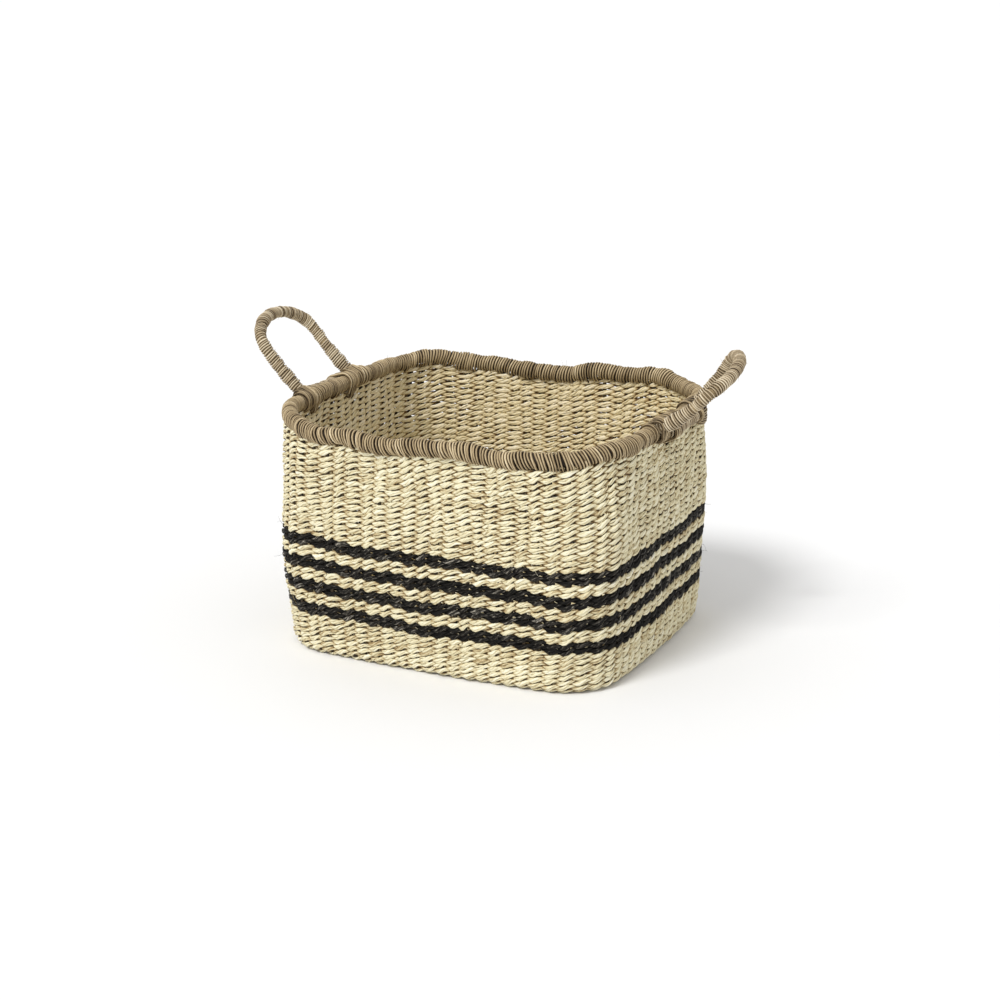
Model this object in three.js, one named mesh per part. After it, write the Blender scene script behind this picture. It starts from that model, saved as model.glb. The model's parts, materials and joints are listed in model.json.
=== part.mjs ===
// A rectangular seagrass storage basket: a twined base and wall with four black stripes,
// a cord-bound rim and two wrapped rope handles that swing about the rim.
// Millimetres, +Z up, the origin at the middle of the base's underside, +X along the long side.
// The front is at -Y. The handles sit off centre, so that half a turn about Z would put each in the other's place.
import * as THREE from "three";

// The wall's outer outline at three heights: a rectangle with round corners and bowed sides.
const FOOT = { halfLength: 190, halfDepth: 161, corner: 64, bow: 8 };
const BELLY = { halfLength: 191, halfDepth: 171, corner: 52, bow: 8.5 };
const TOP = { halfLength: 193, halfDepth: 179, corner: 88, bow: 6 };

const WALL = 7; // thickness of the weave
const FOOT_ROUND = 15; // outer radius where the wall turns into the base
const ROW_HEIGHT = 6.4; // one twined row
const STRIPES_BOTTOM = 46; // underside of the lowest black stripe
const STRIPE_COUNT = 4;
const STRIPE_HEIGHT = 2 * ROW_HEIGHT; // each stripe, black or natural, is two rows
const GAP = 0.3; // between neighbouring pieces

const RIM_HEIGHT = 255; // middle of the rim at the short sides
const RIM_SAG = 5; // the long sides' middles hang this much lower
const RIM_RADIUS = 8.5; // outside of the cord that binds the rim
const HOOP_RADIUS = 5; // the hoop inside the binding

const ROPE_RADIUS = 6.3; // outside of the cord that wraps the handle's rope
const ROPE_CORE_RADIUS = 3.6; // the rope inside the wrapping
const HANDLE_HALF_WIDTH = 53; // from the handle's middle to each leg
const HANDLE_OFFSET = 19; // the handle's middle from the basket's middle, along Y
const LEG_START = 13; // from the rim's middle to the end of each leg

// How each rope handle has come to lie. Shoulder and reach are the lengths from the rim's middle to where the
// legs end and to the top of the loop. The leans are degrees from upright, and the leg nearer the middle of the
// side leans outward by twist more than that, the other leg by as much less.
const RIGHT_HANDLE = { shoulder: 70, reach: 98, leanFoot: 52, leanShoulder: 38, leanTip: 66, twist: 7 };
const LEFT_HANDLE = { shoulder: 71, reach: 106, leanFoot: 43.5, leanShoulder: 45, leanTip: 38, twist: 0 };

const LASHING_INNER = 9.2;
const LASHING_OUTER = 11.6;
const LASHING_WIDTH = 20; // along the rim
const LASHING_OPENING = 36; // degrees each side of straight down, where the wall passes
const ROPE_END_LENGTH = 80; // the rope's end that lies along the rim
const ROPE_STUB_LENGTH = 16; // the rope's end that lies down the wall

const CORNER_STEPS = 6;
const SIDE_STEPS = 4;
const POINTS_PER_QUARTER = CORNER_STEPS + SIDE_STEPS;
const OUTLINE_POINTS = 4 * POINTS_PER_QUARTER;

const radians = THREE.MathUtils.degToRad;

function matt(red, green, blue) {
  const color = new THREE.Color().setRGB(red, green, blue, THREE.SRGBColorSpace);
  return new THREE.MeshStandardMaterial({ color, roughness: 0.85, metalness: 0 });
}

const SEAGRASS = matt(0.8, 0.75, 0.61);
const DYED_SEAGRASS = matt(0.2, 0.18, 0.16);
const RIM_CORD = matt(0.62, 0.56, 0.44);
const HANDLE_CORD = matt(0.69, 0.62, 0.54);
const HOOP_WOOD = matt(0.66, 0.5, 0.32);
const ROPE_FIBRE = matt(0.6, 0.52, 0.38);

function piece(name, geometry, material) {
  const mesh = new THREE.Mesh(geometry, material);
  mesh.name = name;
  return mesh;
}

// ---- the wall's outline ----

// A smooth curve through the foot's, belly's and top's values, by the share of the height.
function throughThree(foot, belly, top, share) {
  const footPart = foot * (1 - share) * (1 - 2 * share);
  const bellyPart = belly * 4 * share * (1 - share);
  const topPart = top * share * (2 * share - 1);
  return footPart + bellyPart + topPart;
}

function sectionAt(z) {
  const share = THREE.MathUtils.clamp((z - FOOT_ROUND) / (RIM_HEIGHT - FOOT_ROUND), 0, 1);
  const between = (key) => throughThree(FOOT[key], BELLY[key], TOP[key], share);
  return {
    halfLength: between("halfLength"),
    halfDepth: between("halfDepth"),
    corner: between("corner"),
    bow: between("bow"),
  };
}

// The outline, counter-clockwise seen from above, starting where the right side meets the back right corner.
function outline(section, inset) {
  const a = section.halfLength - inset;
  const b = section.halfDepth - inset;
  const r = section.corner - inset;
  const points = [];
  const cornerPoint = (corner, share) => {
    const angle = ((corner + share) * Math.PI) / 2;
    const sideX = corner % 4 === 0 || corner % 4 === 3 ? 1 : -1;
    const sideY = corner % 4 < 2 ? 1 : -1;
    return new THREE.Vector2(
      sideX * (a - r) + r * Math.cos(angle),
      sideY * (b - r) + r * Math.sin(angle),
    );
  };
  for (let corner = 0; corner < 4; corner += 1) {
    for (let step = 0; step <= CORNER_STEPS; step += 1) {
      points.push(cornerPoint(corner, step / CORNER_STEPS));
    }
    const from = cornerPoint(corner, 1);
    const to = cornerPoint(corner + 1, 0);
    for (let step = 1; step < SIDE_STEPS; step += 1) {
      points.push(from.clone().lerp(to, step / SIDE_STEPS));
    }
  }
  return points.map((point) => bowed(point, a, b, section.bow));
}

function bowed(point, a, b, bow) {
  const outwardX = bow * (1 - (point.y / b) ** 2);
  const outwardY = bow * (1 - (point.x / a) ** 2);
  return new THREE.Vector2(point.x * (1 + outwardX / a), point.y * (1 + outwardY / b));
}

// How far the rim hangs below its height at the short sides.
function sagAt(x) {
  const share = Math.min(Math.abs(x) / TOP.halfLength, 1);
  return RIM_SAG * Math.cos((share * Math.PI) / 2);
}

function wallRing(z, inset, sagShare = 0) {
  return outline(sectionAt(z), inset).map(
    (point) => new THREE.Vector3(point.x, point.y, z - sagShare * sagAt(point.x)),
  );
}

// ---- closed bodies from rings of points ----

// Joins each ring to the next, and the last to the first, into one closed body shaped like a torus.
function torusSolid(rings) {
  const count = rings[0].length;
  const index = [];
  rings.forEach((ring, i) => {
    const here = i * count;
    const next = ((i + 1) % rings.length) * count;
    for (let j = 0; j < count; j += 1) {
      const k = (j + 1) % count;
      index.push(here + j, here + k, next + k);
      index.push(here + j, next + k, next + j);
    }
  });
  const position = rings.flat().flatMap((point) => point.toArray());
  const geometry = new THREE.BufferGeometry();
  geometry.setAttribute("position", new THREE.Float32BufferAttribute(position, 3));
  geometry.setIndex(index);
  geometry.computeVertexNormals();
  return geometry;
}

function polygon(radius, sides) {
  const points = [];
  for (let side = 0; side < sides; side += 1) {
    const angle = (side * 2 * Math.PI) / sides;
    points.push(new THREE.Vector2(radius * Math.cos(angle), radius * Math.sin(angle)));
  }
  return points;
}

function tube(path, radius, hollow, sides, steps) {
  const shape = new THREE.Shape(polygon(radius, sides));
  if (hollow > 0) {
    shape.holes.push(new THREE.Path(polygon(hollow, sides)));
  }
  return new THREE.ExtrudeGeometry(shape, { extrudePath: path, steps, bevelEnabled: false });
}

// ---- base and wall ----

function baseWeave() {
  const edge = outline(FOOT, FOOT_ROUND + GAP);
  const plate = new THREE.ExtrudeGeometry(new THREE.Shape(edge), { depth: WALL, bevelEnabled: false });
  return piece("base_weave", plate, SEAGRASS);
}

// The lowest rows, which turn up from the base in a quarter round.
function wallFootWeave() {
  const turnSteps = 3;
  const top = STRIPES_BOTTOM - GAP / 2;
  const outer = [];
  const inner = [];
  for (let step = 0; step <= turnSteps; step += 1) {
    const angle = (step / turnSteps) * (Math.PI / 2);
    const innerRound = FOOT_ROUND - WALL;
    outer.push(wallRing(FOOT_ROUND * (1 - Math.cos(angle)), FOOT_ROUND * (1 - Math.sin(angle))));
    inner.push(wallRing(FOOT_ROUND - innerRound * Math.cos(angle), FOOT_ROUND - innerRound * Math.sin(angle)));
  }
  outer.push(wallRing(top, 0));
  inner.push(wallRing(top, WALL));
  return piece("wall_foot_weave", torusSolid([...outer, ...inner.reverse()]), SEAGRASS);
}

function stripe(name, order, material) {
  const bottom = STRIPES_BOTTOM + order * STRIPE_HEIGHT + GAP / 2;
  const top = bottom + STRIPE_HEIGHT - GAP;
  const rings = [wallRing(bottom, 0), wallRing(top, 0), wallRing(top, WALL), wallRing(bottom, WALL)];
  return piece(name, torusSolid(rings), material);
}

// Four black stripes with a natural one between each two, numbered from the bottom.
function stripes() {
  const made = [];
  for (let number = 1; number <= STRIPE_COUNT; number += 1) {
    made.push(stripe(`black_stripe_${number}`, 2 * number - 2, DYED_SEAGRASS));
    if (number < STRIPE_COUNT) {
      made.push(stripe(`natural_stripe_${number}`, 2 * number - 1, SEAGRASS));
    }
  }
  return made;
}

function upperWallWeave() {
  const steps = 4;
  const bottom = STRIPES_BOTTOM + (2 * STRIPE_COUNT - 1) * STRIPE_HEIGHT + GAP / 2;
  const top = RIM_HEIGHT - RIM_RADIUS - GAP;
  const outer = [];
  const inner = [];
  for (let step = 0; step <= steps; step += 1) {
    const share = step / steps;
    const z = bottom + (top - bottom) * share;
    outer.push(wallRing(z, 0, share));
    inner.push(wallRing(z, WALL, share));
  }
  return piece("upper_wall_weave", torusSolid([...outer, ...inner.reverse()]), SEAGRASS);
}

// ---- rim ----

// The line that a point of the rim's round section follows; an angle of 0 is its outermost point.
function rimLine(radius, angle) {
  const lift = radius * Math.sin(angle);
  return outline(TOP, WALL / 2 - radius * Math.cos(angle)).map(
    (point) => new THREE.Vector3(point.x, point.y, RIM_HEIGHT - sagAt(point.x) + lift),
  );
}

function rimHoop() {
  const sides = 6;
  const lines = [];
  for (let side = 0; side < sides; side += 1) {
    lines.push(rimLine(HOOP_RADIUS, (side * 2 * Math.PI) / sides));
  }
  return piece("rim_hoop", torusSolid(lines), HOOP_WOOD);
}

// Rings round the rim's section, from the middle of one corner to the middle of the next.
function sideRings(side, radius) {
  const sides = 10;
  const lines = [];
  for (let facet = 0; facet < sides; facet += 1) {
    lines.push(rimLine(radius, (-facet * 2 * Math.PI) / sides));
  }
  const rings = [];
  for (let step = 0; step <= POINTS_PER_QUARTER; step += 1) {
    const at = (side * POINTS_PER_QUARTER + CORNER_STEPS / 2 + step) % OUTLINE_POINTS;
    rings.push(lines.map((line) => line[at]));
  }
  return [pulledBack(rings[0], rings[1]), ...rings.slice(1, -1), pulledBack(rings.at(-1), rings.at(-2))];
}

// Moves an end ring half a gap towards its neighbour, so that two bindings never touch.
function pulledBack(end, neighbour) {
  return end.map((point, i) => {
    const step = neighbour[i].clone().sub(point).setLength(GAP / 2);
    return point.clone().add(step);
  });
}

// One length of cord wound round the hoop, as a sleeve.
function rimBinding(name, side) {
  const outer = sideRings(side, RIM_RADIUS);
  const inner = sideRings(side, HOOP_RADIUS + GAP);
  return piece(name, torusSolid([...outer, ...inner.reverse()]), RIM_CORD);
}

// ---- handles: everything below is drawn for the right side, and turned half round for the left ----

// Middle of the rim on the right side, where the handle's feet hold it.
function rimMiddleX(y) {
  const a = TOP.halfLength - WALL / 2;
  const b = TOP.halfDepth - WALL / 2;
  return a + TOP.bow * (1 - (y / b) ** 2);
}

const HINGE_X = rimMiddleX(HANDLE_HALF_WIDTH);

// A point of a handle: across it, and along its gently bent profile. The legs and the loop each bend evenly, so
// the chord from the start of either leans halfway between its start and its end.
function handlePoint(shape, across, along) {
  const twist = (shape.twist * across) / HANDLE_HALF_WIDTH;
  const leg = Math.min(along, shape.shoulder);
  const loop = along - leg;
  const legBend = (shape.leanShoulder - shape.leanFoot) / shape.shoulder;
  const loopBend = (shape.leanTip - shape.leanShoulder) / (shape.reach - shape.shoulder);
  const legLean = radians(shape.leanFoot - twist + (legBend * leg) / 2);
  const loopLean = radians(shape.leanShoulder - twist + (loopBend * loop) / 2);
  const out = leg * Math.sin(legLean) + loop * Math.sin(loopLean);
  const up = leg * Math.cos(legLean) + loop * Math.cos(loopLean);
  return new THREE.Vector3(HINGE_X + out, HANDLE_OFFSET + across, RIM_HEIGHT + up);
}

function handlePath(shape) {
  const legSteps = 3;
  const archSteps = 8;
  const leg = (across) => {
    const points = [];
    for (let step = 0; step < legSteps; step += 1) {
      const along = LEG_START + ((shape.shoulder - LEG_START) * step) / legSteps;
      points.push(handlePoint(shape, across, along));
    }
    return points;
  };
  const arch = [];
  for (let step = 0; step <= archSteps; step += 1) {
    const angle = Math.PI * (1 - step / archSteps);
    const along = shape.shoulder + (shape.reach - shape.shoulder) * Math.sin(angle);
    arch.push(handlePoint(shape, HANDLE_HALF_WIDTH * Math.cos(angle), along));
  }
  const points = [...leg(-HANDLE_HALF_WIDTH), ...arch, ...leg(HANDLE_HALF_WIDTH).reverse()];
  return new THREE.CatmullRomCurve3(points);
}

function handle(side, shape) {
  const steps = 24;
  const path = handlePath(shape);
  const core = tube(path, ROPE_CORE_RADIUS, 0, 6, steps);
  const wrapping = tube(path, ROPE_RADIUS, ROPE_CORE_RADIUS + GAP, 8, steps);
  return [
    piece(`handle_core_${side}`, core, ROPE_FIBRE),
    piece(`handle_binding_${side}`, wrapping, HANDLE_CORD),
  ];
}

// A collar of cord round the rim at one foot, open below for the wall.
function footLashing(name, y) {
  const opening = radians(LASHING_OPENING);
  const from = -Math.PI / 2 + opening;
  const to = (3 * Math.PI) / 2 - opening;
  const shape = new THREE.Shape();
  shape.absarc(0, 0, LASHING_OUTER, from, to, false);
  shape.absarc(0, 0, LASHING_INNER, to, from, true);
  const collar = new THREE.ExtrudeGeometry(shape, {
    depth: LASHING_WIDTH,
    curveSegments: 14,
    bevelEnabled: false,
  });
  const lashing = piece(name, collar, RIM_CORD);
  lashing.rotation.x = Math.PI / 2;
  lashing.position.set(rimMiddleX(y), y + LASHING_WIDTH / 2, RIM_HEIGHT);
  return lashing;
}

function ropeEndCapsule(length) {
  return new THREE.CapsuleGeometry(ROPE_RADIUS, length - 2 * ROPE_RADIUS, 2, 8);
}

// The rope's end at one foot, laid along the rim's outside towards the other foot.
function ropeEndAlongRim(name, footY) {
  const droop = radians(12);
  const distance = RIM_RADIUS + ROPE_RADIUS + 2 * GAP;
  const y = footY + LASHING_WIDTH / 2 + GAP + ROPE_END_LENGTH / 2;
  const end = piece(name, ropeEndCapsule(ROPE_END_LENGTH), HANDLE_CORD);
  end.position.set(HINGE_X + distance * Math.cos(droop), y, RIM_HEIGHT - distance * Math.sin(droop));
  return end;
}

// The rope's end at the other foot, laid down the outside of the wall.
function ropeEndDownWall(name, footY) {
  const end = piece(name, ropeEndCapsule(ROPE_STUB_LENGTH), HANDLE_CORD);
  const wallX = rimMiddleX(footY) + WALL / 2;
  const z = RIM_HEIGHT - LASHING_OUTER - ROPE_STUB_LENGTH / 2;
  end.rotation.x = Math.PI / 2;
  end.position.set(wallX + ROPE_RADIUS + 3 * GAP, footY, z);
  return end;
}

// The handle, its lashings and its rope's two ends; near and far name the two feet.
function handleSide(side, shape, near, far) {
  const nearY = HANDLE_OFFSET - HANDLE_HALF_WIDTH;
  const farY = HANDLE_OFFSET + HANDLE_HALF_WIDTH;
  const group = new THREE.Group();
  group.add(...handle(side, shape));
  group.add(footLashing(`foot_lashing_${side}_${near}`, nearY));
  group.add(footLashing(`foot_lashing_${side}_${far}`, farY));
  group.add(ropeEndAlongRim(`rope_end_${side}_${near}`, nearY));
  group.add(ropeEndDownWall(`rope_end_${side}_${far}`, farY));
  return group;
}

// ---- the basket ----

const basket = new THREE.Group();
basket.add(baseWeave(), wallFootWeave(), ...stripes(), upperWallWeave(), rimHoop());
["back", "left", "front", "right"].forEach((name, side) => {
  basket.add(rimBinding(`rim_binding_${name}`, side));
});
const rightHandle = handleSide("right", RIGHT_HANDLE, "front", "back");
const leftHandle = handleSide("left", LEFT_HANDLE, "back", "front");
leftHandle.rotation.z = Math.PI;
basket.add(rightHandle, leftHandle);

export default basket;
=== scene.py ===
"""Seagrass storage basket: every twined strand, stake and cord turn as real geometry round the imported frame.

The wall is one surface. u runs round the basket from 0 to 1, counter-clockwise seen from above, from the
middle of the right side. t runs up its profile in millimetres from the base's edge, and below 0 in over the
base. Twined rows, stakes, the rim and the stray fibres are all placed on it. Lengths are in millimetres
until a mesh is made, where they become metres.
"""

import functools
import json
import math

import bpy
import numpy as np
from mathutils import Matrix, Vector


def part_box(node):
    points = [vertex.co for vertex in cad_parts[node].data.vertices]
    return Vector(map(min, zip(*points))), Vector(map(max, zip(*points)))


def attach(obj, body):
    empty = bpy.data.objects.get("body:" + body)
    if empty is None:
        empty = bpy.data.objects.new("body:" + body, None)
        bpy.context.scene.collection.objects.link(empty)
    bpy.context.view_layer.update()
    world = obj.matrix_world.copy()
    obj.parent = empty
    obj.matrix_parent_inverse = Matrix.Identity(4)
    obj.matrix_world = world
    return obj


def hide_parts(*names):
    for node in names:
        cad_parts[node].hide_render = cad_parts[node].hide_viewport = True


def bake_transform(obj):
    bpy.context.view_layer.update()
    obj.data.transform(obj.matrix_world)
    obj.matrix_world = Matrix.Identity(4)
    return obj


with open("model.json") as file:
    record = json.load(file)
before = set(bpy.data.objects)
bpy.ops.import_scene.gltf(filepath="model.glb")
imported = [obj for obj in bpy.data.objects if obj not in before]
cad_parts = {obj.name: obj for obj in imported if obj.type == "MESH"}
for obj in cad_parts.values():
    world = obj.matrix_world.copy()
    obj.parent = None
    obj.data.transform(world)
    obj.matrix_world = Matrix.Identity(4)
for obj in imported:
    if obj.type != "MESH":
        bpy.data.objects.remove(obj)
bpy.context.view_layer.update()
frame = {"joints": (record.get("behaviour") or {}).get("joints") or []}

MM = 0.001

# ---- the basket's shape: the CAD model's, a little softer at the foot ----
FOOT = np.array([187.5, 162.5, 56.0, 8.0])  # half length, half depth, corner radius, bow of the sides
BELLY = np.array([191.5, 171.0, 52.0, 8.5])
TOP = np.array([193.0, 179.0, 88.0, 6.0])
RIM_SAG = 5.0
RIM_RADIUS = 8.5
HOOP_RADIUS = 5.0
FOOT_ROUND = 11.0
ROPE_RADIUS = 6.3
HANDLE_HALF_WIDTH = 53.0


def box_mm(node):
    low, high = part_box(node)
    return np.array(low) / MM, np.array(high) / MM


right_joint = next(j for j in frame["joints"] if j["name"] == "handle_right_tilt")
HINGE = np.array(right_joint["pos_m"]) / MM
RIM_HEIGHT = HINGE[2]
WALL = box_mm("base_weave")[1][2]
STRIPES_BOTTOM = box_mm("black_stripe_1")[0][2]
STRIPES_TOP = box_mm("black_stripe_4")[1][2]
WALL_TOP = RIM_HEIGHT - RIM_RADIUS
STRIPE_COUNT = 4

MID_ROUND = FOOT_ROUND - WALL / 2  # radius of the weave's middle where it turns up from the base
TURN = MID_ROUND * math.pi / 2  # its length along the profile

# ---- the weave ----
STAKES = 84
STRAND_DEPTH = 2.1  # how far a strand swings out of and into the wall
STRAND_LIFT = 1.65  # how far it climbs from a stake to the crossing after it
STITCH_SLANT = 0.45  # how much more than that it leans over a stake
LEAVES = 3  # twisted together into one strand, half a turn for each stitch
LOOSENESS = 0.045  # how much the fullness of the strands changes from one area of the wall to another
STRAND_TAPER = 0.17  # how much fuller a stitch is where it comes out, and thinner where it goes in
LEAF_SPREAD = 1.8  # how far they spread up and down where the strand lies flat over a stake
LEAF_STACK = 0.6  # and how far they stand before and behind one another there
LEAF_ROUND = 0.95  # both of these where the strands cross
LEAF_HALF_WIDTH = 1.42
LEAF_HALF_THICKNESS = 0.95
EDGE_SHADE = 0.22  # painted shade: how much darker the edges of a leaf are than its middle, where it lies against its neighbours
CAVITY_SHADE = 0.95  # painted shade: how much darker the weave is in the middle of the wall than on its two faces
CAVITY_DEPTH = 2.1
INSIDE_PAINTED_LIGHT = 0.13  # painted light: how much lighter its inner face is than its outer one
STAKE_HALF_WIDTH = 2.3
STAKE_HALF_THICKNESS = 1.2
STAKE_FOOT = -55.0  # how far in over the base a stake starts
STRAND_TONE = 0.71  # the middle of the strands' tones
FOOT_ROWS = 8
ROWS_PER_STRIPE = 2
UPPER_ROWS = 17
BASE_ROWS = 23
WALL_STEPS = 6  # rings of a leaf from stake to stake, and their sides
WALL_SIDES = 6
BASE_STEPS = 5
BASE_SIDES = 5
ROW_HEIGHT = 6.4
BASE_STITCH = 15.0
HEART_STALKS = 5  # the bundle at the base's heart, that its first row is twined round
HEART_SPACING = 3.2

# How uneven the hand's work is: each the spread of a random share, turn (radians) or distance.
UNEVEN_LIFT = 0.25
UNEVEN_SLANT = 0.3
UNEVEN_HEIGHT = 0.4
UNEVEN_DEPTH = 0.35
UNEVEN_TWIST = 0.8
UNEVEN_FULLNESS = 0.1
UNEVEN_LEAF_TURN = 0.25
UNEVEN_LEAF_WIDTH = 0.12
UNEVEN_LEAF_TONE = 0.05
STAKE_WANDER = 0.0011  # in u
ROW_WANDER = 0.9
BULGE = 1.1


# ---- meshes made of tubes ----


def unit(v):
    return v / np.linalg.norm(v, axis=-1, keepdims=True)


def tangents(points, closed):
    if closed:
        return unit(np.roll(points, -1, 0) - np.roll(points, 1, 0))
    return unit(np.gradient(points, axis=0))


class Tubes:
    """Collects tubes of oval section along any path, and makes one object of them."""

    def __init__(self):
        self.points = []
        self.quads = []
        self.caps = []
        self.tone = []
        self.fibre = []
        self.count = 0
        self.strands = 0

    def add(self, path, wide, half_wide, half_thin, tone, sides=6, closed=False, groove=EDGE_SHADE):
        """A tube along path, flattened so that its wide side lies along the hint wide.

        tone (0 dark to 1 light) colours it along the path, or is a function that gives the tone of every
        corner of its rings; groove darkens its two edges with painted shade."""
        n = len(path)
        along = tangents(path, closed)
        wide = unit(wide - (wide * along).sum(-1, keepdims=True) * along)
        thin = np.cross(along, wide)
        angle = np.arange(sides) * 2 * math.pi / sides
        across = np.cos(angle) * np.broadcast_to(half_wide, n)[:, None]
        height = np.sin(angle) * np.broadcast_to(half_thin, n)[:, None]
        ring = path[:, None, :] + wide[:, None, :] * across[..., None]
        ring = ring + thin[:, None, :] * height[..., None]
        step = np.linalg.norm(np.diff(path, axis=0), axis=1)
        distance = np.concatenate([[0.0], np.cumsum(step)])
        strand = np.full((n, sides), float(self.strands % 97))
        fibre = np.stack([np.broadcast_to(distance[:, None], (n, sides)), across + 0.6 * height, strand], -1)
        rows = np.arange(n if closed else n - 1)[:, None]
        column = np.arange(sides)[None, :]
        here, there = rows * sides, ((rows + 1) % n) * sides
        beside = (column + 1) % sides
        quads = np.stack([here + column, here + beside, there + beside, there + column], -1)
        self.quads.append(quads.reshape(-1, 4) + self.count)
        if not closed:
            self.caps.append([self.count + j for j in range(sides - 1, -1, -1)])
            self.caps.append([self.count + (n - 1) * sides + j for j in range(sides)])
        self.points.append(ring.reshape(-1, 3))
        shade = tone(ring) if callable(tone) else np.broadcast_to(tone, n)[:, None]
        # Painted shade on each tube's two edges, where it lies against its neighbours.
        self.tone.append((shade - groove * np.cos(angle) ** 2).ravel())
        self.fibre.append(fibre.reshape(-1, 3))
        self.count += n * sides
        self.strands += 1

    def build(self, name, material, body="basket", half_turned=False):
        points = np.concatenate(self.points) * MM
        if half_turned:
            points = points * [-1, -1, 1]
        mesh = bpy.data.meshes.new(name)
        mesh.from_pydata(points.tolist(), [], np.concatenate(self.quads).tolist() + self.caps)
        mesh.polygons.foreach_set("use_smooth", np.ones(len(mesh.polygons), bool))
        tone = mesh.attributes.new("tone", "FLOAT", "POINT")
        tone.data.foreach_set("value", np.concatenate(self.tone).astype(np.float32))
        fibre = mesh.attributes.new("fibre", "FLOAT_VECTOR", "POINT")
        fibre.data.foreach_set("vector", np.concatenate(self.fibre).astype(np.float32).ravel())
        mesh.materials.append(material)
        piece = bpy.data.objects.new(name, mesh)
        bpy.context.scene.collection.objects.link(piece)
        if body is not None:
            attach(piece, body)
        return piece


# ---- the surface of the weave ----


def uneven(u, t, seed, counts, spread):
    """A smooth hand-made waviness round the basket, about 1 high: counts waves round it, that drift over
    a height of spread."""
    rng = np.random.default_rng(seed)
    total = 0.0
    for count in counts:
        phase = rng.uniform(0, 2 * math.pi)
        drift = rng.normal(0, 1 / spread)
        total = total + np.cos(2 * math.pi * count * u + phase + drift * t)
    return total / math.sqrt(len(counts) / 2)


def section(z, inset):
    share = np.clip((z - FOOT_ROUND) / (RIM_HEIGHT - FOOT_ROUND), 0, 1)[..., None]
    foot_part = FOOT * (1 - share) * (1 - 2 * share)
    belly_part = BELLY * 4 * share * (1 - share)
    top_part = TOP * share * (2 * share - 1)
    a, b, r, bow = np.moveaxis(foot_part + belly_part + top_part, -1, 0)
    return a - inset, b - inset, np.clip(r - inset, 5, b - inset), bow


def outline(u, z, inset):
    """Where the outer outline at height z, moved in by inset, passes at u."""
    a, b, r, bow = section(z, inset)
    quarter = np.mod(u, 1) * 4
    turn = np.floor(quarter).astype(int)
    share = np.where(turn % 2 == 0, quarter - turn, 1 - quarter + turn)
    side, arc = b - r, r * math.pi / 2
    s = share * (side + arc + a - r)
    angle = np.clip((s - side) / r, 0, math.pi / 2)
    x = a - r + r * np.cos(angle) - np.maximum(s - side - arc, 0)
    y = np.minimum(s, side) + r * np.sin(angle)
    bowed_x = x * (1 + bow * (1 - (y / b) ** 2) / a)
    bowed_y = y * (1 + bow * (1 - (x / a) ** 2) / b)
    sign_x = np.where((turn == 1) | (turn == 2), -1, 1)
    sign_y = np.where(turn < 2, 1, -1)
    return sign_x * bowed_x, sign_y * bowed_y


def sag(x):
    return RIM_SAG * np.cos(np.minimum(np.abs(x) / TOP[0], 1) * math.pi / 2)


RIM_SWELLS = ((0.172, 0.04, 4.4), (0.225, 0.022, 2.8), (0.295, 0.035, -1.7))  # u, width in u and height


def rim_wave(u):
    wave = 1.5 * uneven(u, 0, 11, (5, 7, 10, 13, 19), 1)
    for middle, width, height in RIM_SWELLS:
        wave = wave + height * np.exp(-(((np.mod(u, 1) - middle) / width) ** 2))
    return wave


def surface(u, t):
    """The middle of the weave's thickness."""
    bend = np.clip(t / MID_ROUND, 0, math.pi / 2)
    inset = FOOT_ROUND - MID_ROUND * np.sin(bend) - np.minimum(t, 0)
    z = FOOT_ROUND - MID_ROUND * np.cos(bend) + np.maximum(t - TURN, 0)
    x, y = outline(u, z, inset)
    share = np.clip((z - STRIPES_TOP) / (WALL_TOP - STRIPES_TOP), 0, 1)
    return np.stack([x, y, z - share * (sag(x) - rim_wave(u))], -1)


def wall_frame(u, t):
    """A point of the surface, with the unit vectors up its profile and out of the basket."""
    du, dt = 5e-4, 0.5
    along = surface(u + du, t) - surface(u - du, t)
    up = unit(surface(u, t + dt) - surface(u, t - dt))
    return surface(u, t), up, unit(np.cross(along, up))


def profile_at(z):
    return TURN + z - FOOT_ROUND


def above_foot(t):
    """0 on the base and 1 well above it: the waviness fades out where the basket stands."""
    return np.clip(t / 45, 0, 1)


def stake_wander(u, t):
    return STAKE_WANDER * uneven(u, t, 21, (9, 14, 23, 31), 30) * above_foot(t)


def row_wander(u, t):
    return ROW_WANDER * uneven(u, t, 31, (6, 11, 17, 26, 37), 22) * above_foot(t)


def bulge(u, t):
    return BULGE * uneven(u, t, 41, (3, 5, 9, 15), 28) * above_foot(t)


# ---- twined rows and stakes ----


def strand_tones(count, rng, spread):
    """One tone for each stitch: a strand keeps its tone until the next one is laid in."""
    tones = np.empty(count)
    at = 0
    while at < count:
        length = int(rng.integers(12, 30))
        tones[at : at + length] = rng.normal(STRAND_TONE, spread)
        at += length
    return tones + rng.normal(0, 0.6 * spread, count)


def drifting(values, x):
    """A closed ring of values, one to a stitch, read smoothly at x."""
    stitch = np.floor(x).astype(int)
    share = x - stitch
    share = share * share * (3 - 2 * share)
    return values[stitch % len(values)] * (1 - share) + values[(stitch + 1) % len(values)] * share


def painted_depth_shading(ring, middle, normal, tone):
    """The tone of a leaf's rings, with painted light and shade: painted shade dark in the middle of the wall,
    and painted light that makes its inner face paler.
    """
    depth = ((ring - middle[:, None]) * normal[:, None]).sum(-1)
    cavity_shade = CAVITY_SHADE * np.clip(1 - np.abs(depth) / CAVITY_DEPTH, 0, 1) ** 1.5
    return tone[:, None] + np.where(depth < 0, INSIDE_PAINTED_LIGHT, 0) - cavity_shade


def strand_lift(turn, loose):
    """How far a strand stands above its row's middle."""
    climb = STRAND_LIFT * np.sin(turn) * (1 + UNEVEN_LIFT * loose[0])
    slant = STITCH_SLANT * np.sin(2 * turn) * (0.6 + UNEVEN_SLANT * loose[1])
    return climb + slant + UNEVEN_HEIGHT * loose[2]


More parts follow.
